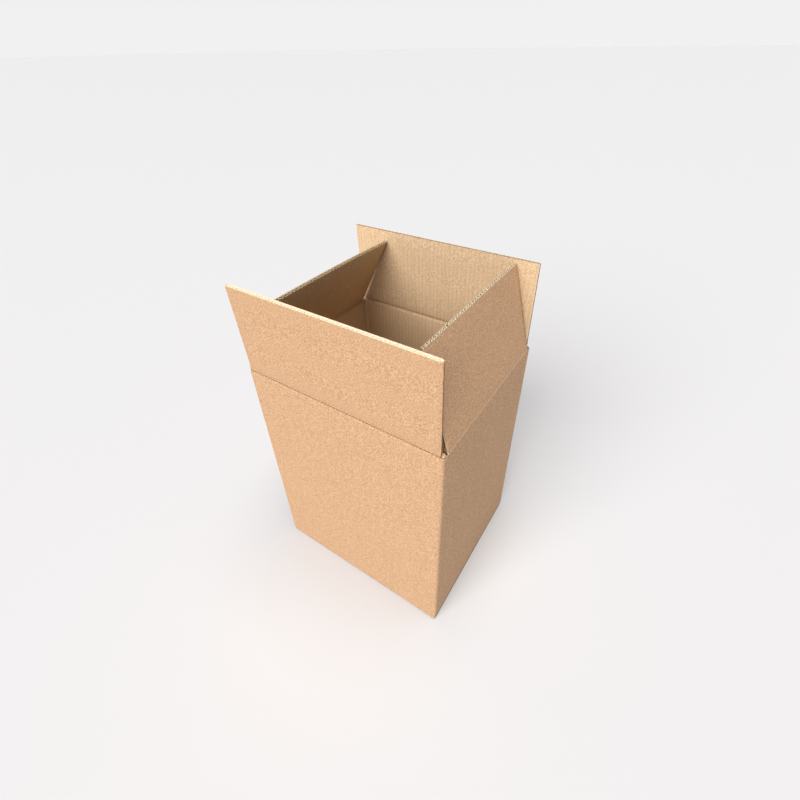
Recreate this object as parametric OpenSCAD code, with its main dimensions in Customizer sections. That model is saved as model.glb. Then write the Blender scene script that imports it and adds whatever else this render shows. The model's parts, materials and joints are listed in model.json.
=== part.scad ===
// Bottle shipping box: a regular slotted carton folded from one sheet of double-wall corrugated board.
// Its bottom flaps are folded shut and glued, and its four top flaps stand open.
// Origin at the middle of the base, +X to the right along the front, +Y to the back, +Z up.

/* [Box] */
// Outer length of the front and back walls
box_l = 356; // [320:1:500]
// Outer width of the left and right walls
box_w = 303; // [220:1:340]
// Height from the floor to the flap creases
wall_h = 438; // [260:1:600]
// Outside radius of the folded edges
fold_r = 5; // [2:0.5:6]
// Radius of the bead that the crushed inner liner makes in each inside corner
bead_r = 5; // [2:0.5:8]

/* [Glued seams] */
// Width of the tab at the maker's joint, glued inside the front wall
tab_w = 38; // [25:1:60]
// How much shorter the tab's free edge is at each end
tab_taper = 12; // [4:1:20]
// Room above the tab for the left flap when it is folded in
tab_clear = 1.7; // [1:0.1:6]
// Depth of the outside groove where the tab folds in behind the front wall
joint_groove = 2.5; // [1:0.5:4]
// Gap between the long bottom flaps where they meet under the box
seam_gap = 1; // [0.5:0.5:6]
// How far the long bottom flaps stop short of the outside of the short walls
bottom_inset = 1.5; // [1:0.5:8]

/* [Board] */
// Thickness of each of the three flat liners
liner_t = 0.35; // [0.2:0.05:0.6]
// Thickness of the two fluted sheets
medium_t = 0.3; // [0.2:0.05:0.5]
// Height of the fine flutes under the outer liner
fine_flute_h = 2.4; // [2:0.1:3]
// Pitch of the fine flutes
fine_flute_pitch = 5.8; // [5:0.1:7]
// Height of the coarse flutes under the inner liner
coarse_flute_h = 3.55; // [3:0.05:4.5]
// Pitch of the coarse flutes
coarse_flute_pitch = 7.8; // [7:0.1:9]
// Width of the stretch that the slotting knife crushes solid at each end of a flap
crushed_end = 9; // [2:0.5:12]

/* [Top flaps] */
// Lean of the front flap, outward from upright
front_lean = 2; // [-2:1:175]
// Lean of the back flap, outward from upright
back_lean = -2; // [-2:1:175]
// Lean of the left flap, outward from upright
left_lean = -27; // [-88:1:175]
// Lean of the right flap, outward from upright
right_lean = -15; // [-88:1:175]
// How far the long flaps stop short of the outside of the left wall
left_inset = 1.5; // [1:0.5:8]
// How far the slots set the long flaps in from the outside of the right wall
right_inset = 5.5; // [1:0.5:8]
// Room at each end of a short flap, past the corner bead and any long flap that leans in over it
slot_clear = 0.5; // [0.4:0.1:4]
// Slant of the crushed board on each side of a crease
crease_slant = 46; // [46:1:55]
// Room at the outer liner between a wall and its flap
crease_gap = 0.3; // [0.2:0.05:0.6]

/* [Hidden] */
$fn = 64;

outer_kraft = [0.80, 0.62, 0.44];
board_t = 3 * liner_t + fine_flute_h + coarse_flute_h;
inner_l = box_l - 2 * board_t;
inner_w = box_w - 2 * board_t;
// The long flaps meet in the middle, and all flaps are as deep as they are
flap_d = box_w / 2;
long_flap_w = box_l - left_inset - right_inset;
long_flap_x = (left_inset - right_inset) / 2;
bottom_flap_w = box_l - 2 * bottom_inset;
// How far the top of a long flap leans in over the ends of the short ones
lean_in = flap_d * sin(max(0, -front_lean, -back_lean));
short_flap_w = inner_w - 2 * (max(bead_r, lean_in) + slot_clear);
crease_depth = board_t * tan(crease_slant);
floor_z = 2 * board_t;
// Height at which the tab ends, clear of the left flap folded in
tab_top = wall_h - crease_gap - crease_depth - tab_clear;
// Overlap that joins two solids of the same sheet
weld = 0.5;

// Flat shape: a rectangle with all four corners round, centred
module round_rectangle(l, w, r) {
    square([l - 2 * r, w], center = true);
    square([l, w - 2 * r], center = true);
    for (x = [-1, 1], y = [-1, 1])
        translate([x * (l / 2 - r), y * (w / 2 - r)]) circle(r);
}

// Flat shape: a rectangle standing on the X axis, with its two lower corners round
module round_footed(l, h, r) {
    translate([-l / 2, r]) square([l, h - r]);
    translate([-l / 2 + r, 0]) square([l - 2 * r, 2 * r]);
    for (x = [-1, 1])
        translate([x * (l / 2 - r), r]) circle(r);
}

// One row of open cells on each side of a fluted sheet, as triangles.
// The row is centred on X and lies between the heights y and y + h.
function flute_cells(w, pitch, h, y) =
    let (
        run = pitch / 2,
        slope = sqrt(run * run + h * h),
        foot = medium_t / 2 * slope / h,
        tip = medium_t / 2 * slope / run,
        count = floor((w - 2 * crushed_end) / pitch),
        first = (1 - count) * run
    )
    concat(
        [for (i = [0 : count - 1])
            let (x = first + i * pitch)
            [[x - run + foot, y], [x + run - foot, y], [x, y + h - tip]]],
        [for (i = [0 : count - 2])
            let (x = first + i * pitch + run)
            [[x + run - foot, y + h], [x - run + foot, y + h], [x, y + tip]]]
    );

// Cut edge of the board: three liners with fine flutes outside and coarse flutes inside.
// The outer liner lies on the X axis and the thickness runs along +Y.
module board_section(w) {
    rim = [[-w / 2, 0], [w / 2, 0], [w / 2, board_t], [-w / 2, board_t]];
    cells = concat(
        flute_cells(w, fine_flute_pitch, fine_flute_h, liner_t),
        flute_cells(w, coarse_flute_pitch, coarse_flute_h, 2 * liner_t + fine_flute_h)
    );
    corners = concat(rim, [for (cell = cells) each cell]);
    cell_paths = [for (i = [0 : len(cells) - 1]) [for (k = [0 : 2]) 4 + 3 * i + k]];
    polygon(corners, concat([[0, 1, 2, 3]], cell_paths));
}

// Wedge that the score crushes out of the inside of a wall's top edge, along X.
// The wall's outer face is on y = 0, with the crease at the origin.
module wall_score(length) {
    rotate([90, 0, 90])
        translate([0, 0, -length / 2])
            linear_extrude(length)
                polygon([
                    [-weld, -crease_gap / 2],
                    [0, -crease_gap / 2],
                    [board_t, -crease_gap / 2 - crease_depth],
                    [board_t + weld, -crease_gap / 2 - crease_depth],
                    [board_t + weld, weld],
                    [-weld, weld]
                ]);
}

// A top flap at its crease, which runs along X through the origin with the outer liner on -Y.
// The flutes run up the flap, and the root is slanted where the score crushes it.
module flap(w, lean) {
    rotate([lean, 0, 0])
        intersection() {
            linear_extrude(flap_d) board_section(w);
            rotate([90, 0, 90])
                translate([0, 0, -w / 2 - weld])
                    linear_extrude(w + 2 * weld)
                        polygon([
                            [0, crease_gap / 2],
                            [0, flap_d],
                            [board_t, flap_d],
                            [board_t, crease_gap / 2 + crease_depth]
                        ]);
        }
}

// Outline of the four walls seen from above, without the space inside
module wall_plan() {
    round_rectangle(box_l, box_w, fold_r);
    // The front wall's cut end at the maker's joint is square
    translate([-box_l / 2, -box_w / 2]) square(fold_r);
}

// Space between the walls, less the bead in each corner
module inside_plan() {
    difference() {
        square([inner_l, inner_w], center = true);
        for (x = [-1, 1], y = [-1, 1])
            translate([x * inner_l / 2, y * inner_w / 2]) circle(bead_r);
    }
}

// Four walls, from the layer of the short bottom flaps up to the creases
module walls() {
    difference() {
        intersection() {
            translate([0, 0, board_t]) linear_extrude(wall_h - crease_gap / 2 - board_t) wall_plan();
            translate([0, box_w / 2 + weld, board_t])
                rotate([90, 0, 0])
                    linear_extrude(box_w + 2 * weld)
                        round_footed(box_l, wall_h, fold_r);
        }
        linear_extrude(wall_h) inside_plan();
        for (side = [0, 180]) {
            rotate(side) translate([0, -box_w / 2, wall_h]) wall_score(inner_l);
            rotate(side + 90) translate([0, -box_l / 2, wall_h]) wall_score(inner_w);
        }
        // Outside groove of the maker's joint, on the left wall
        translate([-box_l / 2, -box_w / 2 + board_t, 0])
            rotate(45)
                translate([0, 0, wall_h / 2])
                    cube([joint_groove, joint_groove, 2 * wall_h], center = true);
    }
}

// Tab of the left wall, glued flat inside the front wall, with tapered ends
module glue_tab() {
    translate([-inner_l / 2, -inner_w / 2 + board_t, 0])
        rotate([90, 0, 0])
            linear_extrude(board_t + weld)
                polygon([
                    [-weld, floor_z - weld],
                    [bead_r, floor_z - weld],
                    [tab_w, floor_z + tab_taper],
                    [tab_w, tab_top - tab_taper],
                    [bead_r, tab_top],
                    [-weld, tab_top]
                ]);
}

// Long bottom flaps: the lowest layer, folded in from the front and back walls to a seam in the middle
module long_bottom_flaps() {
    translate([-bottom_flap_w / 2, 0, 0])
        rotate([90, 0, 90])
            linear_extrude(bottom_flap_w)
                difference() {
                    intersection() {
                        round_footed(box_w, floor_z, fold_r);
                        translate([-box_w / 2, 0]) square([box_w, board_t]);
                    }
                    translate([-seam_gap / 2, -weld]) square([seam_gap, board_t + 2 * weld]);
                }
}

// Short bottom flaps: the upper layer, folded in from the left and right walls under the load
module short_bottom_flaps() {
    for (side = [0, 180])
        rotate(side)
            translate([-inner_l / 2 - weld, -inner_w / 2 - weld, board_t])
                cube([flap_d - board_t + weld, inner_w + 2 * weld, board_t]);
}

// The sheet up to the flap creases, folded and glued into an open box
module carton_body() {
    color(outer_kraft) {
        walls();
        glue_tab();
        long_bottom_flaps();
        short_bottom_flaps();
    }
}

// Long top flap on the front wall
module front_flap() {
    color(outer_kraft)
        translate([long_flap_x, -box_w / 2, wall_h]) flap(long_flap_w, front_lean);
}

// Long top flap on the back wall
module back_flap() {
    color(outer_kraft)
        rotate(180) translate([-long_flap_x, -box_w / 2, wall_h]) flap(long_flap_w, back_lean);
}

// Short top flap on the left wall
module left_flap() {
    color(outer_kraft)
        rotate(-90) translate([0, -box_l / 2, wall_h]) flap(short_flap_w, left_lean);
}

// Short top flap on the right wall
module right_flap() {
    color(outer_kraft)
        rotate(90) translate([0, -box_l / 2, wall_h]) flap(short_flap_w, right_lean);
}

carton_body();
front_flap();
back_flap();
left_flap();
right_flap();
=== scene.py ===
# Bottle shipping box: a slotted carton folded from double-wall corrugated board, with its top flaps open.
import json
import math

import bpy
from mathutils import Matrix, Vector, noise


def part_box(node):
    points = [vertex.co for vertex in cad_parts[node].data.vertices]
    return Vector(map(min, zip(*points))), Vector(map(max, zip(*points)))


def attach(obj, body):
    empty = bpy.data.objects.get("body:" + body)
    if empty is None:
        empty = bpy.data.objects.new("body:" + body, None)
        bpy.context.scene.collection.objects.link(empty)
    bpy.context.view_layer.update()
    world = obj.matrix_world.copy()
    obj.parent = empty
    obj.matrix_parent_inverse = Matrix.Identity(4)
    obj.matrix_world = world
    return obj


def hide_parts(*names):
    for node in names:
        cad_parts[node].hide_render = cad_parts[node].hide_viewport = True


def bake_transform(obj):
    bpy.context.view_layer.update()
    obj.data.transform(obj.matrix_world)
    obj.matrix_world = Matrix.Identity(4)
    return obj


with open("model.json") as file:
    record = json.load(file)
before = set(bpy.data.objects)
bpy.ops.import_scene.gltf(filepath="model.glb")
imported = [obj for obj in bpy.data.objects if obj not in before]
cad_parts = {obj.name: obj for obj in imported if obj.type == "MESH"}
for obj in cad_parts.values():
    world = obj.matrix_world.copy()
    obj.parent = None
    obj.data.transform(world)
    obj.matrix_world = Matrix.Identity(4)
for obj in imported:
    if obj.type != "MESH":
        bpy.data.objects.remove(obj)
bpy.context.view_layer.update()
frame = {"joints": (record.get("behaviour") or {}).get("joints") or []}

# Carton walls: the sides of one folded sheet of kraft board, up to the flap creases.
# Outside, one liner wraps round three folds and the glued joint. Inside, each wall has its own liner.
# The scoring wheel crushed the board along each crease, so the inner liner slopes back to the outer one.
MM = 0.001
UP = Vector((0, 0, 1))
half_l, half_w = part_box("carton_body")[1].xy
crease_z = frame["joints"][0]["pos_m"][2]
liner_t = 0.35 * MM
fine_flute_h = 2.4 * MM
fine_pitch = 5.8 * MM
coarse_flute_h = 3.55 * MM
coarse_pitch = 7.8 * MM
board_t = 3 * liner_t + fine_flute_h + coarse_flute_h
floor_z = 2 * board_t
fold_r = 5 * MM
joint_fold_r = 2.5 * MM
outer_ripple = 0.04 * MM
inner_ripple = 0.16 * MM
score_web = 1.5 * MM
score_slope = 0.72
score_shoulder = 1.6 * MM
long_groove = 1.8 * MM
short_groove = 0.6 * MM
wall_lip_h = 5.5 * MM
slot_base_w = half_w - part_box("left_flap")[1].y - 0.4 * MM


def linear(hex_colour):
    """An sRGB hex value as the linear colour that a shader takes."""
    channels = [int(hex_colour[i:i + 2], 16) / 255 for i in (1, 3, 5)]
    return [c / 12.92 if c <= 0.04045 else ((c + 0.055) / 1.055) ** 2.4 for c in channels] + [1.0]


def add_node(material, kind, values=None, links=None, **settings):
    """Adds a node to a material: settings are its own, values go on its sockets, and links feed them."""
    node = material.node_tree.nodes.new(kind)
    for name, setting in settings.items():
        setattr(node, name, setting)
    for socket, value in (values or {}).items():
        node.inputs[socket].default_value = value
    for socket, source in (links or {}).items():
        material.node_tree.links.new(source, node.inputs[socket])
    return node


def kraft_paper(name, pale, deep, roughness, streaks=0.0, tip_glue_and_shade=0.0):
    """Unbleached kraft paper, matt: mottled pulp, streaks that run up the board, and a few bark specks.

    Real fibres are some 0.03 mm thick, so the grain is drawn coarser than it is, to show at all.
    Lines along the flute tips, which lie at half of its UV map's width, darken the paper a little: partly
    the glue there, partly painted shade of the washboard ripples."""
    paper = bpy.data.materials.new(name)
    paper.use_nodes = True
    shader = paper.node_tree.nodes["Principled BSDF"]
    coordinates = add_node(paper, "ShaderNodeTexCoord")
    where = coordinates.outputs["Object"]
    pulp = add_node(
        paper, "ShaderNodeTexNoise", {"Scale": 1 / (1.9 * MM), "Detail": 4.0, "Roughness": 0.7},
        {"Vector": where})
    upright = add_node(
        paper, "ShaderNodeMapping", {"Scale": (1 / (4 * MM), 1 / (4 * MM), 1 / (80 * MM))},
        {"Vector": where})
    runs = add_node(
        paper, "ShaderNodeTexNoise", {"Scale": 1.0, "Detail": 2.0}, {"Vector": upright.outputs[0]})
    mottle = add_node(
        paper, "ShaderNodeMix", {0: streaks}, {2: pulp.outputs[0], 3: runs.outputs[0]})
    shade = add_node(
        paper, "ShaderNodeMapRange", {"From Min": 0.38, "From Max": 0.62}, {"Value": mottle.outputs[0]})
    # Partly painted shade: darker lines at the flute tips, for the glue there and for the shade of the
    # washboard ripples.
    if tip_glue_and_shade:
        across = add_node(
            paper, "ShaderNodeSeparateXYZ", links={0: coordinates.outputs["UV"]})
        flank = add_node(
            paper, "ShaderNodeMath", {1: 0.5}, {0: across.outputs["X"]}, operation="PINGPONG")
        tip = add_node(
            paper, "ShaderNodeMapRange", {"From Min": 0.34, "From Max": 0.5, "To Max": tip_glue_and_shade},
            {"Value": flank.outputs[0]}, interpolation_type="SMOOTHSTEP")
        line = add_node(
            paper, "ShaderNodeMath", links={0: tip.outputs[0], 1: runs.outputs[0]}, operation="MULTIPLY")
        shade = add_node(
            paper, "ShaderNodeMath", links={0: shade.outputs[0], 1: line.outputs[0]}, operation="SUBTRACT")
    specks = add_node(
        paper, "ShaderNodeTexNoise", {"Scale": 1 / (2.2 * MM), "Detail": 1.0}, {"Vector": where})
    bark = add_node(
        paper, "ShaderNodeMapRange", {"From Min": 0.68, "From Max": 0.78, "To Max": 0.3},
        {"Value": specks.outputs[0]})
    tint = add_node(
        paper, "ShaderNodeMix", {6: linear(deep), 7: linear(pale)}, {0: shade.outputs[0]}, data_type="RGBA")
    colour = add_node(
        paper, "ShaderNodeMix", {7: linear("#6E4F33")}, {0: bark.outputs[0], 6: tint.outputs[2]},
        data_type="RGBA")
    bump = add_node(
        paper, "ShaderNodeBump", {"Strength": 0.25, "Distance": 0.08 * MM}, {"Height": pulp.outputs[0]})
    paper.node_tree.links.new(colour.outputs[2], shader.inputs["Base Color"])
    paper.node_tree.links.new(bump.outputs[0], shader.inputs["Normal"])
    shader.inputs["Roughness"].default_value = roughness
    shader.inputs["Specular IOR Level"].default_value = 0.25
    return paper


outer_kraft = kraft_paper("outer_kraft_liner", "#D4AE88", "#A68160", 0.82, streaks=0.05)
inner_kraft = kraft_paper("inner_test_liner", "#E7CAA6", "#BCA17D", 0.88, streaks=0.12, tip_glue_and_shade=0.55)
cut_edge = kraft_paper("knife_cut_board_edge", "#FFF2D8", "#EAD6AE", 0.92)


def wavy_sheet(width, bottom, top, pitch, y, swing, rows, steps):
    """A sheet of paper standing along X, in waves that run up it and swing from y to y + swing.

    One flute's width is shaped from a grid and repeated by an array. Its outer face looks to -Y."""
    bpy.ops.object.select_all(action="DESELECT")
    bpy.ops.mesh.primitive_grid_add(x_subdivisions=steps, y_subdivisions=rows, size=1)
    sheet = bpy.context.object
    flutes = round(width / pitch)
    flute_w = width / flutes
    for vertex in sheet.data.vertices:
        across, up = vertex.co.x + 0.5, vertex.co.y + 0.5
        wave = (1 - math.cos(2 * math.pi * across)) / 2
        vertex.co = (flute_w * across - width / 2, y + swing * wave, bottom + (top - bottom) * up)
    array = sheet.modifiers.new("flutes", "ARRAY")
    array.count = flutes
    array.use_relative_offset = False
    array.use_constant_offset = True
    array.constant_offset_displace = (flute_w, 0, 0)
    array.use_merge_vertices = True
    array.merge_threshold = flute_w / 100
    bpy.ops.object.modifier_apply(modifier=array.name)
    return sheet


def edit_points(piece, picked):
    """Opens edit mode on a piece, with only the points selected that are picked by their place."""
    bpy.ops.object.select_all(action="DESELECT")
    piece.select_set(True)
    bpy.context.view_layer.objects.active = piece
    bpy.ops.object.mode_set(mode="EDIT")
    bpy.ops.mesh.select_mode(type="VERT")
    bpy.ops.mesh.select_all(action="DESELECT")
    bpy.ops.object.mode_set(mode="OBJECT")
    for vertex in piece.data.vertices:
        vertex.select = picked(vertex.co)
    bpy.ops.object.mode_set(mode="EDIT")


def extend(sheet, height, steps, shoulder=0.0):
    """Carries a sheet on from its edge at that height, step by step, and rounds the shoulder there."""
    edit_points(sheet, lambda co: abs(co.z - height) < 0.001 * MM)
    for step in steps:
        bpy.ops.mesh.extrude_region_move(TRANSFORM_OT_translate={"value": step})
    bpy.ops.object.mode_set(mode="OBJECT")
    if shoulder:
        edit_points(sheet, lambda co: abs(co.z - height) < 0.001 * MM)
        bpy.ops.mesh.bevel(offset=shoulder, segments=4, affect="EDGES")
        bpy.ops.object.mode_set(mode="OBJECT")


def crush_ends(piece, width, reach, share, root):
    """Squeezes board towards its middle near both ends of its width, as folds and slotting knives leave it.

    The squeeze fades out towards the crease, over the height of the root."""
    for vertex in piece.data.vertices:
        inside = (width / 2 - abs(vertex.co.x)) / reach
        if inside < 1:
            fade = min(1, abs(vertex.co.z) / root)
            vertex.co.y += (board_t / 2 - vertex.co.y) * share * fade * (1 - max(inside, 0)) ** 2


def thicken(sheet, thickness, paper):
    """Gives a sheet its thickness, away from its outer face, with the cut edge's finish on its rim."""
    sheet.data.materials.append(paper)
    sheet.data.materials.append(cut_edge)
    solid = sheet.modifiers.new("thickness", "SOLIDIFY")
    solid.thickness = thickness
    solid.offset = -1
    solid.material_offset_rim = 1
    bpy.context.view_layer.objects.active = sheet
    bpy.ops.object.modifier_apply(modifier=solid.name)
    return sheet


def join(name, parts):
    """Makes one piece of several, smooth over its gentle bends and crisp at its cut edges."""
    bpy.ops.object.select_all(action="DESELECT")
    for part in parts:
        part.select_set(True)
    bpy.context.view_layer.objects.active = parts[0]
    bpy.ops.object.join()
    piece = bpy.context.object
    piece.name = piece.data.name = name
    bpy.ops.object.shade_smooth_by_angle(angle=math.radians(32))
    return piece


def crease_frame(joint):
    """Where a flap's crease is: X along it, Y into the box and Z up, as a matrix."""
    along = Vector(joint["axis"])
    inward = UP.cross(along)
    turn = Matrix((along, inward, UP)).transposed().to_4x4()
    return Matrix.Translation(joint["pos_m"]) @ turn


def inner_span(joint):
    """Clear width between the walls on either side of the one under this crease."""
    return 2 * ((half_l if joint["axis"][0] else half_w) - board_t)


def score_depth(joint):
    """How far the score slopes away from its crease. Only a short flap's has to let it fold right in."""
    return 3.4 * MM if joint["axis"][0] else 7.4 * MM


def groove_depth(joint):
    """How deep the crease lies outside. A short flap leans in and stretches its crease nearly flat."""
    return long_groove if joint["axis"][0] else short_groove


def wall_run(start, end, inward):
    """Points along the outer liner of a wall, which sinks a little between the tips of the fine flutes."""
    start, end, inward = Vector(start), Vector(end), Vector(inward)
    steps = 4
    count = steps * round((end - start).length / fine_pitch)
    sinks = [outer_ripple * (1 - math.cos(2 * math.pi * i / steps)) / 2 for i in range(count)]
    return [start.lerp(end, i / count) + inward * sinks[i] for i in range(count)]


def fold_arc(x, y, radius, first_deg):
    """Points round a quarter turn from that angle, with its centre at x, y."""
    angles = [math.radians(first_deg + 15 * i) for i in range(7)]
    return [Vector((x + radius * math.cos(a), y + radius * math.sin(a))) for a in angles]


straight_l, straight_w = half_l - fold_r, half_w - fold_r
joint_y = -half_w + board_t
knife_recess = 0.6 * MM
layer_ends = [
    board_t, board_t - liner_t, liner_t + fine_flute_h + liner_t, liner_t + fine_flute_h, liner_t, 0]
cut_end = []
for i, y in enumerate(layer_ends):
    cut_end.append(Vector((-half_l + knife_recess, -half_w + y)))
    if i in (1, 3):
        cut_end.append(Vector((-half_l + 2 * knife_recess, -half_w + y - 0.1 * MM)))
        cut_end.append(Vector((-half_l + 2 * knife_recess, -half_w + layer_ends[i + 1] + 0.1 * MM)))
outline = (
    wall_run((-half_l + knife_recess + 0.01 * MM, -half_w), (straight_l, -half_w), (0, 1))
    + fold_arc(straight_l, -straight_w, fold_r, -90)
    + wall_run((half_l, -straight_w), (half_l, straight_w), (-1, 0))[1:]
    + fold_arc(straight_l, straight_w, fold_r, 0)
    + wall_run((straight_l, half_w), (-straight_l, half_w), (0, -1))[1:]
    + fold_arc(-straight_l, straight_w, fold_r, 90)
    + wall_run((-half_l, straight_w), (-half_l, joint_y + joint_fold_r), (1, 0))[1:]
    + fold_arc(-half_l + joint_fold_r, joint_y + joint_fold_r, joint_fold_r, 180)
    + cut_end
)
bpy.ops.object.select_all(action="DESELECT")
bpy.ops.mesh.primitive_circle_add(vertices=len(outline), radius=half_l)
wrap = bpy.context.object
for vertex, point in zip(wrap.data.vertices, outline):
    vertex.co = (point.x, point.y, board_t)
foot_rises = [0, 0.4, 1.2, 2.4, 3.7, 5]
lip_drops = [5.5, 4.6, 3.7, 2.9, 2.1, 1.4, 0.7]
wall_levels = [board_t + rise * MM for rise in foot_rises]
wall_levels += [board_t + (crease_z - board_t) * share / 10 for share in range(1, 10)]
wall_levels += [crease_z - drop * MM for drop in lip_drops]
edit_points(wrap, lambda co: True)
for lower, upper in zip(wall_levels, wall_levels[1:]):
    bpy.ops.mesh.extrude_region_move(TRANSFORM_OT_translate={"value": (0, 0, upper - lower)})
bpy.ops.mesh.select_all(action="SELECT")
bpy.ops.mesh.normals_make_consistent(inside=False)
bpy.ops.object.mode_set(mode="OBJECT")
outward = [vertex.normal.copy() for vertex in wrap.data.vertices]
for vertex, normal in zip(wrap.data.vertices, outward):
    rise = vertex.co.z - board_t
    if rise < fold_r:
        reach = straight_l + math.sqrt(fold_r ** 2 - (fold_r - rise) ** 2)
        vertex.co.x = max(-reach, min(reach, vertex.co.x))
    drop = crease_z - vertex.co.z
    if drop < wall_lip_h:
        groove = long_groove * normal.y ** 2 + short_groove * normal.x ** 2
        vertex.co -= normal * groove * (1 - drop / wall_lip_h) ** 2
wall_parts = [thicken(wrap, liner_t, outer_kraft)]

for joint in frame["joints"]:
    span, depth = inner_span(joint), score_depth(joint)
    wall_liner = wavy_sheet(
        span, floor_z - crease_z, -depth, coarse_pitch,
        board_t - liner_t - inner_ripple, inner_ripple, 12, 6)
    extend(wall_liner, -depth, [(0, score_web + liner_t - board_t, score_slope * depth)], score_shoulder)
    crush_ends(wall_liner, span, 8 * MM, 0.95, depth)
    thicken(wall_liner, liner_t, inner_kraft)
    wall_liner.data.transform(crease_frame(joint))
    wall_parts.append(wall_liner)

bead_r = 5 * MM
tab_top = crease_z - 9.3 * MM
corners = [(1, -1), (1, 1), (-1, 1), (-1, -1)]
for side_x, side_y in corners:
    bead_x = side_x * (half_l - board_t)
    bead_y = side_y * (half_w - board_t)
    bead_top = crease_z - 0.4 * MM
    if (side_x, side_y) == (-1, -1):
        bead_y += board_t
        bead_top = tab_top
    bpy.ops.object.select_all(action="DESELECT")
    bpy.ops.mesh.primitive_cylinder_add(
        vertices=32, radius=bead_r, depth=bead_top - floor_z,
        location=(bead_x, bead_y, (bead_top + floor_z) / 2))
    bpy.ops.object.transform_apply()
    bead = bpy.context.object
    edit_points(bead, lambda co: co.z > bead_top - MM)
    bpy.ops.mesh.bevel(offset=1.2 * MM, segments=3, affect="EDGES")
    bpy.ops.object.mode_set(mode="OBJECT")
    bead.data.materials.append(inner_kraft)
    wall_parts.append(bead)

# The board under each slot between two flaps is crushed, and torn down into the flutes on the right side,
# where its sunken top is painted dark brown as the shade deep in the slot
slot_painted_shade = kraft_paper("slot_base_painted_shade", "#7C5F40", "#46321F", 0.95)
slot_end_h = 9 * MM
slot_end_top = crease_z - 0.35 * MM
slot_depths = {1: 5 * MM, -1: 0.8 * MM}
for side_x, side_y in corners:
    bpy.ops.object.select_all(action="DESELECT")
    bpy.ops.mesh.primitive_cube_add(
        size=1, scale=(board_t, slot_base_w, slot_end_h),
        location=(
            side_x * (half_l - board_t / 2),
            side_y * (half_w - slot_base_w / 2),
            slot_end_top - slot_end_h / 2))
    bpy.ops.object.transform_apply()
    slot_end = bpy.context.object
    edit_points(slot_end, lambda co: side_x * co.x > half_l - MM and side_y * co.y > half_w - MM)
    bpy.ops.mesh.bevel(offset=fold_r, segments=6, affect="EDGES")
    bpy.ops.object.mode_set(mode="OBJECT")
    edit_points(slot_end, lambda co: co.z > slot_end_top - MM)
    bpy.ops.mesh.inset(thickness=0.6 * MM)
    bpy.ops.transform.translate(value=(0, 0, -slot_depths[side_x]))
    bpy.ops.object.mode_set(mode="OBJECT")
    for vertex in slot_end.data.vertices:
        vertex.co.x -= side_x * short_groove
        if side_y * vertex.co.y > half_w - slot_base_w / 2:
            vertex.co.y -= side_y * long_groove
    slot_end.data.materials.append(slot_painted_shade if side_x > 0 else inner_kraft)
    wall_parts.append(slot_end)

carton_walls = join("carton_walls", wall_parts)
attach(carton_walls, "carton")
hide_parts("carton_body")

# Top flaps: the sheet runs on past each crease as a flap of bare board, open at its cut edges.
# Two fluted sheets are glued between three liners, fine flutes outside and coarse ones inside.
# The slotting knives crushed the board at both ends of each flap.
flap_depth = half_w
fully_open_deg = 175
# Real fluting is some 0.3 mm thick. The knife's burr is drawn thicker than it is, to show at all
burr_t = 0.8 * MM
flap_lip_h = 4 * MM
lip_shares = (0.17, 0.33, 0.39)
# Partly painted shade: the fluting and middle liner paper is coloured darker brown than it is, so that the
# hollows between the flutes look dark.
fluting = kraft_paper("flute_sheet_paper_and_shade", "#765C3D", "#483421", 0.92)
# Partly painted shade: the crushed cut sides of the flaps are a darker brown, for crushed board and for the
# shade on them.
side_crush_and_shade = kraft_paper("board_side_crush_and_shade", "#BC9871", "#6E5036", 0.92)
# Painted shade: a dark brown for the flute slit open along a short flap's side, where the channel lies in
# shade.
flute_hollow = kraft_paper("shaded_flute_hollow", "#7C5F40", "#46321F", 0.95)
# Painted shade: a darker cream for the free edges of the back and left flaps.
edge_painted_shade = kraft_paper("board_edge_painted_shade", "#EBD6AE", "#CBAF82", 0.92)
layers = [
    ("outer liner", 0.0, outer_ripple, liner_t, fine_pitch, outer_kraft, 4),
    ("fine flutes", liner_t, fine_flute_h - burr_t, burr_t, fine_pitch, fluting, 8),
    ("middle liner", liner_t + fine_flute_h, 0.0, liner_t, fine_pitch, fluting, 4),
    ("coarse flutes", 2 * liner_t + fine_flute_h, coarse_flute_h - burr_t, burr_t, coarse_pitch, fluting, 8),
    ("inner liner", board_t - liner_t - inner_ripple, inner_ripple, liner_t, coarse_pitch, inner_kraft, 6),
]


def cut_side(side, width, depth, score, recess, paper):
    """The knife's cut along one side of a flap, down to its root: crushed shut, or open along a flute."""
    bpy.ops.object.select_all(action="DESELECT")
    bpy.ops.mesh.primitive_grid_add(x_subdivisions=7, y_subdivisions=90, size=1)
    face = bpy.context.object
    for vertex in face.data.vertices:
        through, up = vertex.co.x + 0.5, (vertex.co.y + 0.5) * depth
        reach = max(board_t * min(1, up / score), 0.4 * MM)
        rough = recess * (0.6 + 0.4 * noise.noise(Vector((side * 9, through * 4, up / (2.5 * MM)))))
        vertex.co = (side * (width / 2 - rough), 0.2 * MM + through * (reach - 0.4 * MM), up)
    face.data.materials.append(paper)
    return face


def frayed_core(width, depth, sink):
    """Torn fibres just below the knife's cut, which all but close the flutes."""
    bpy.ops.object.select_all(action="DESELECT")
    bpy.ops.mesh.primitive_grid_add(x_subdivisions=240, y_subdivisions=6, size=1)
    core = bpy.context.object
    for vertex in core.data.vertices:
        along, through = vertex.co.x * (width - MM), 0.3 * MM + (vertex.co.y + 0.5) * (board_t - 0.6 * MM)
        fray = noise.noise(Vector((along / (2 * MM), through / (1.5 * MM), 0)))
        vertex.co = (along, through, depth - sink * (1 + 0.5 * fray))
    core.data.materials.append(cut_edge)
    return core


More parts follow.
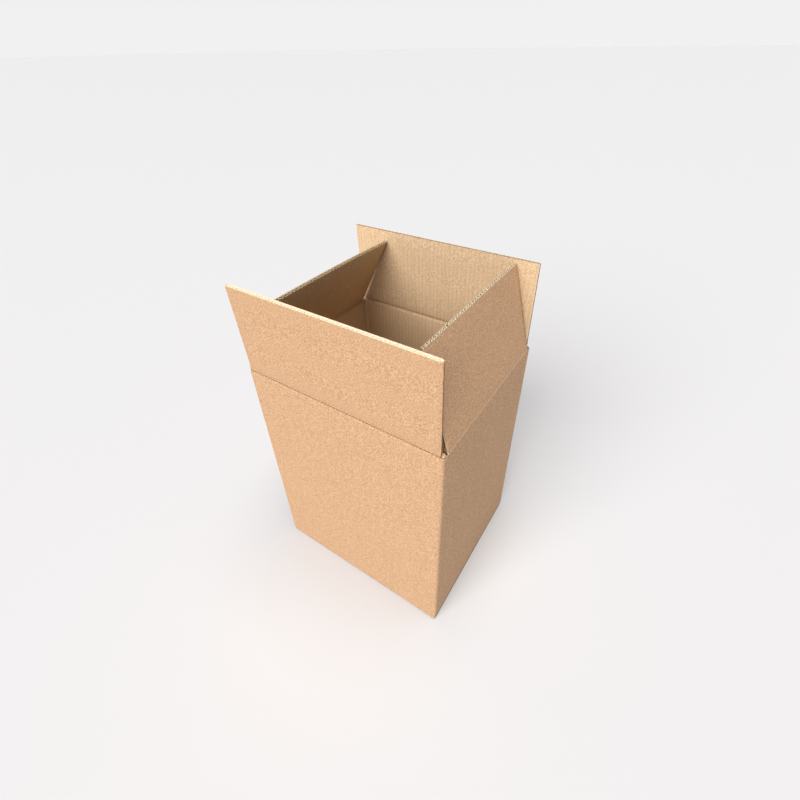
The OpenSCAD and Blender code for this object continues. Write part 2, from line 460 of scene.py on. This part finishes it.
def flap_board(name, width, depth, score, groove, edge, fray, slit, pinch, bow):
    """A flap as it stands on its crease: five sheets, with the inner liner sloped back to the crushed root.

    The knife frayed or pinched its free edge, which bows a little in the middle. Where it slit a flute open
    along the flap's sides, only the two liners reach that far."""
    side_paper = flute_hollow if slit else side_crush_and_shade
    sheets = [cut_side(side, width, depth, score, slit or 0.5 * MM, side_paper) for side in (-1, 1)]
    if fray:
        sheets.append(frayed_core(width, depth, fray))
    for layer, y, swing, thickness, pitch, paper, steps in layers:
        liner = layer in ("outer liner", "inner liner")
        root = flap_lip_h if layer == "outer liner" else score * (y + swing + thickness) / board_t
        sheet = wavy_sheet(width if liner else width - slit, root, depth, pitch, y, swing, 12, steps)
        if layer == "outer liner":
            extend(sheet, root, [(0, share * groove, -MM) for share in lip_shares])
        if layer == "inner liner":
            extend(sheet, root, [(0, score_web - y, -score_slope * score)], score_shoulder)
        sheets.append(thicken(sheet, thickness, paper))
    board = join(name, sheets)
    board.data.materials[board.data.materials.find(cut_edge.name)] = edge
    # Where no flute is slit open, the cut rims along the flap's sides take the crushed side's darker brown,
    # partly as painted shade.
    side_index = board.data.materials.find(side_paper.name)
    for face in board.data.polygons:
        if not slit and abs(face.normal.x) > 0.9 and board.data.materials[face.material_index] == edge:
            face.material_index = side_index
    crush_ends(board, width, 6 * MM, 0.6, 2 * score)
    for vertex in board.data.vertices:
        up = max(vertex.co.z / depth, 0)
        vertex.co.y += (board_t / 2 - vertex.co.y) * pinch * max(0, (up - 0.9) / 0.1)
        vertex.co.y += bow * up ** 2 * (1 + math.cos(math.pi * vertex.co.x / width)) / 2
        if up > 0.999:
            vertex.co.z -= 0.15 * MM * (1 + noise.noise(vertex.co / (1.5 * MM)))
    return board


# How the knife left each flap, and the colour of its free edge, which on the back and left flaps is painted
# shade.
wear_and_shade_by_flap = {
    "front": {"edge": cut_edge, "fray": 0.5 * MM, "slit": 0, "pinch": 0.05, "bow": 0.8 * MM},
    "back": {"edge": edge_painted_shade, "fray": 0, "slit": 0, "pinch": 0.25, "bow": 0.4 * MM},
    "left": {"edge": edge_painted_shade, "fray": 0, "slit": 4 * MM, "pinch": 0.3, "bow": -3 * MM},
    "right": {"edge": cut_edge, "fray": 0, "slit": 4 * MM, "pinch": 0.2, "bow": 0.4 * MM},
}
slot_frames = {}
flap_frames = {}
flap_widths = {}
for joint in frame["joints"]:
    body = joint["child"]
    lean_deg = fully_open_deg - joint["range_deg"][1]
    along = Vector(joint["axis"])
    low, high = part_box(body + "_flap")
    flap_widths[body] = abs((high - low).dot(along))
    middle = ((low + high) / 2 - Vector(joint["pos_m"])).dot(along)
    slot_frames[body] = crease_frame(joint) @ Matrix.Translation((middle, 0, 0))
    flap_frames[body] = slot_frames[body] @ Matrix.Rotation(math.radians(lean_deg), 4, "X")
    flap = flap_board(
        body + "_flap_board", flap_widths[body], flap_depth, score_depth(joint), groove_depth(joint),
        **wear_and_shade_by_flap[body])
    flap.data.transform(flap_frames[body])
    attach(flap, body)
    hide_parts(body + "_flap")

# Creases: the crushed web of board that joins each flap to its wall and bends as the flap turns.
# All five sheets are pressed together there, as a shallow groove outside and the foot of a V inside.
web_half_h = 1.2 * MM
# Painted shade: the outside of a long crease's web is a darker brown, for the shade in its groove.
crease_groove_painted_shade = kraft_paper("crease_liner_painted_shade", "#B8926F", "#8E6C4B", 0.75)
# Painted highlight: the outside of a short crease's web is a paler tan, for the light on its bend.
crease_bend_painted_highlight = kraft_paper("crease_web_painted_highlight", "#E2BA94", "#C49C76", 0.75)
web_outer = [(1.2, -1.6), (1.5, -0.9), (1.6, -0.4), (1.62, 0), (1.6, 0.4), (1.5, 0.9), (1.2, 1.6)]
web_inner = [(2.1, 2.6), (2.2, 1.6), (2.3, 0.7), (2.35, 0), (2.3, -0.7), (2.2, -1.6), (2.1, -2.6)]
for joint in frame["joints"]:
    body = joint["child"]
    wall_frame = slot_frames[body]
    lean = math.radians(fully_open_deg - joint["range_deg"][1])
    web_w = flap_widths[body] - 0.5 * MM
    flatter = groove_depth(joint) / long_groove
    web_profile = [(y * flatter, z) for y, z in web_outer] + web_inner
    outer_paper = crease_groove_painted_shade if joint["axis"][0] else crease_bend_painted_highlight
    bpy.ops.object.select_all(action="DESELECT")
    bpy.ops.mesh.primitive_circle_add(vertices=len(web_profile), radius=board_t, fill_type="NGON")
    web = bpy.context.object
    web.name = web.data.name = body + "_crease_web"
    for vertex, (y, z) in zip(web.data.vertices, web_profile):
        share = min(1, max(0, (z * MM + web_half_h) / (2 * web_half_h)))
        turn = Matrix.Rotation(lean * share * share * (3 - 2 * share), 3, "X")
        vertex.co = Vector((-web_w / 2, 0, 0)) + turn @ Vector((0, y * MM, z * MM))
    edit_points(web, lambda co: True)
    bpy.ops.mesh.extrude_region_move(TRANSFORM_OT_translate={"value": (web_w, 0, 0)})
    bpy.ops.mesh.select_all(action="SELECT")
    bpy.ops.mesh.normals_make_consistent(inside=False)
    bpy.ops.object.mode_set(mode="OBJECT")
    for paper in (outer_paper, inner_kraft, cut_edge):
        web.data.materials.append(paper)
    for face in web.data.polygons:
        face.material_index = 2 if abs(face.normal.x) > 0.9 else int(face.normal.y > 0)
    bpy.ops.object.shade_smooth_by_angle(angle=math.radians(50))
    web.data.transform(wall_frame)
    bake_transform(web)

# Bottom flaps: folded in under the box and glued, the short ones above and the long ones below, to a seam.
# They are the same board as the rest, with their flutes open along the free edges.
seam_gap = 1 * MM


def under_frame(outward, reach, z):
    """Where a bottom flap folds in from its wall: Z into the box and Y up, as a matrix."""
    turn = Matrix((UP.cross(-outward), UP, -outward)).transposed().to_4x4()
    return Matrix.Translation(outward * reach + UP * z) @ turn


def bottom_board(width, start, end):
    """A bottom flap's five sheets, from its fold to its free edge."""
    sheets = []
    for layer, y, swing, thickness, pitch, paper, steps in layers:
        sheet = wavy_sheet(width, start, end, pitch, y, swing, 2, steps)
        sheets.append(thicken(sheet, thickness, paper))
    return sheets


bottom_parts = []
for side in (-1, 1):
    long_w = 2 * half_l - 3 * MM
    sheets = bottom_board(long_w, fold_r, half_w - seam_gap / 2)
    bpy.ops.object.select_all(action="DESELECT")
    bpy.ops.mesh.primitive_grid_add(x_subdivisions=60, y_subdivisions=9, size=1)
    fold = bpy.context.object
    for vertex in fold.data.vertices:
        turn = (vertex.co.y + 0.5) * 10 / 8
        angle = min(turn, 1) * math.pi / 2
        rise = max(turn - 1, 0) * 4 * (board_t - fold_r)
        vertex.co = (
            -vertex.co.x * long_w,
            fold_r * (1 - math.sin(math.pi / 2 - angle)) + rise,
            fold_r * (1 - math.cos(math.pi / 2 - angle)))
    sheets.append(thicken(fold, liner_t, outer_kraft))
    board = join("long_bottom_flap", sheets)
    board.data.transform(under_frame(Vector((0, side, 0)), half_w, 0))
    bottom_parts.append(board)
    short_w = 2 * (half_w - board_t)
    board = join("short_bottom_flap", bottom_board(short_w, fold_r, half_w))
    board.data.transform(under_frame(Vector((side, 0, 0)), half_l, board_t))
    bottom_parts.append(board)
bottom_flaps = join("bottom_flaps", bottom_parts)
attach(bottom_flaps, "carton")

# Glue tab: the left wall's own tab, folded in behind the end of the front wall and glued flat to it.
# Its ends are cut to a taper, and its free edge is crushed by the knife.
tab_w = 38 * MM
tab_taper = 12 * MM
tab_sheets = []
for layer, y, swing, thickness, pitch, paper, steps in layers:
    sheet = wavy_sheet(tab_w, floor_z, tab_top, pitch, y, swing, 4, steps)
    tab_sheets.append(thicken(sheet, thickness, paper))
tab = join("glue_tab", tab_sheets)
for vertex in tab.data.vertices:
    along = vertex.co.x / tab_w + 0.5
    upper = vertex.co.z > (floor_z + tab_top) / 2
    if abs(vertex.co.z - (tab_top if upper else floor_z)) < MM:
        vertex.co.z += (-1 if upper else 1) * tab_taper * along
    if along > 0.8:
        vertex.co.y += (board_t / 2 - vertex.co.y) * 0.3 * ((along - 0.8) / 0.2) ** 2
tab.data.transform(Matrix.Translation((-half_l + board_t + tab_w / 2, -half_w + board_t, 0)))
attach(tab, "carton")

# Studio: a plain pale floor, and broad soft light from the front and above.
# The surround is as pale as the floor at the horizon, and fades to a cool grey above.
bpy.context.scene.view_settings.view_transform = "Standard"
bpy.ops.object.select_all(action="DESELECT")
bpy.ops.mesh.primitive_plane_add(size=200)
floor = bpy.context.object
floor.name = "studio_floor"
floor_paint = bpy.data.materials.new("matt_white_floor")
floor_paint.use_nodes = True
floor_shader = floor_paint.node_tree.nodes["Principled BSDF"]
floor_shader.inputs["Base Color"].default_value = linear("#C9CBCD")
floor_shader.inputs["Roughness"].default_value = 0.9
floor.data.materials.append(floor_paint)

surround = bpy.data.worlds.new("white_surround")
surround.use_nodes = True
sky = surround.node_tree.nodes["Background"]
heading = add_node(surround, "ShaderNodeTexCoord").outputs["Generated"]
height = add_node(surround, "ShaderNodeSeparateXYZ", links={0: heading}).outputs["Z"]
above = add_node(
    surround, "ShaderNodeMapRange", {"From Min": 0.04, "From Max": 0.3}, {"Value": height},
    interpolation_type="SMOOTHSTEP")
tone = add_node(
    surround, "ShaderNodeMix", {6: linear("#F1F1F2"), 7: linear("#626C7A")}, {0: above.outputs[0]},
    data_type="RGBA")
surround.node_tree.links.new(tone.outputs[2], sky.inputs["Color"])
bpy.context.scene.world = surround


def soft_light(name, round_deg, height_deg, spread_deg, strength, colour):
    """Even light from one quarter: so far round from the right towards the back, and up from the floor."""
    lamp = bpy.data.lights.new(name, "SUN")
    lamp.angle = math.radians(spread_deg)
    lamp.energy = strength
    lamp.color = linear(colour)[:3]
    holder = bpy.data.objects.new(name, lamp)
    raise_up = Matrix.Rotation(math.radians(-height_deg), 3, "Y")
    turn = Matrix.Rotation(math.radians(round_deg), 3, "Z") @ raise_up
    holder.rotation_euler = (turn @ Vector((1, 0, 0))).to_track_quat("Z", "Y").to_euler()
    bpy.context.scene.collection.objects.link(holder)


soft_light("front_light", -94, 35, 45, 3.4, "#FFFBF9")
soft_light("high_light", 0, 83, 40, 2.35, "#FFF6EE")

# Camera: where the photograph was taken from, close above the right front corner, with a wide lens.
photo_px = 800
focal_px = 434
centre_px = (406.6, 371.6)
camera_eye = Vector((0.3423, -0.4802, 0.8536))
camera_aim = Vector((-0.0551, 0.1184, 0.3116))
camera_roll_deg = -0.96
lens = bpy.data.cameras.new("photo_camera")
lens.sensor_width = 36
lens.lens = lens.sensor_width * focal_px / photo_px
lens.shift_x = (photo_px / 2 - centre_px[0]) / photo_px
lens.shift_y = (centre_px[1] - photo_px / 2) / photo_px
lens.clip_start = 0.01
camera = bpy.data.objects.new("photo_camera", lens)
camera.location = camera_eye
look = (camera_aim - camera_eye).to_track_quat("-Z", "Y").to_matrix().to_4x4()
camera.rotation_euler = (look @ Matrix.Rotation(math.radians(camera_roll_deg), 4, "Z")).to_euler()
bpy.context.scene.collection.objects.link(camera)
bpy.context.scene.camera = camera
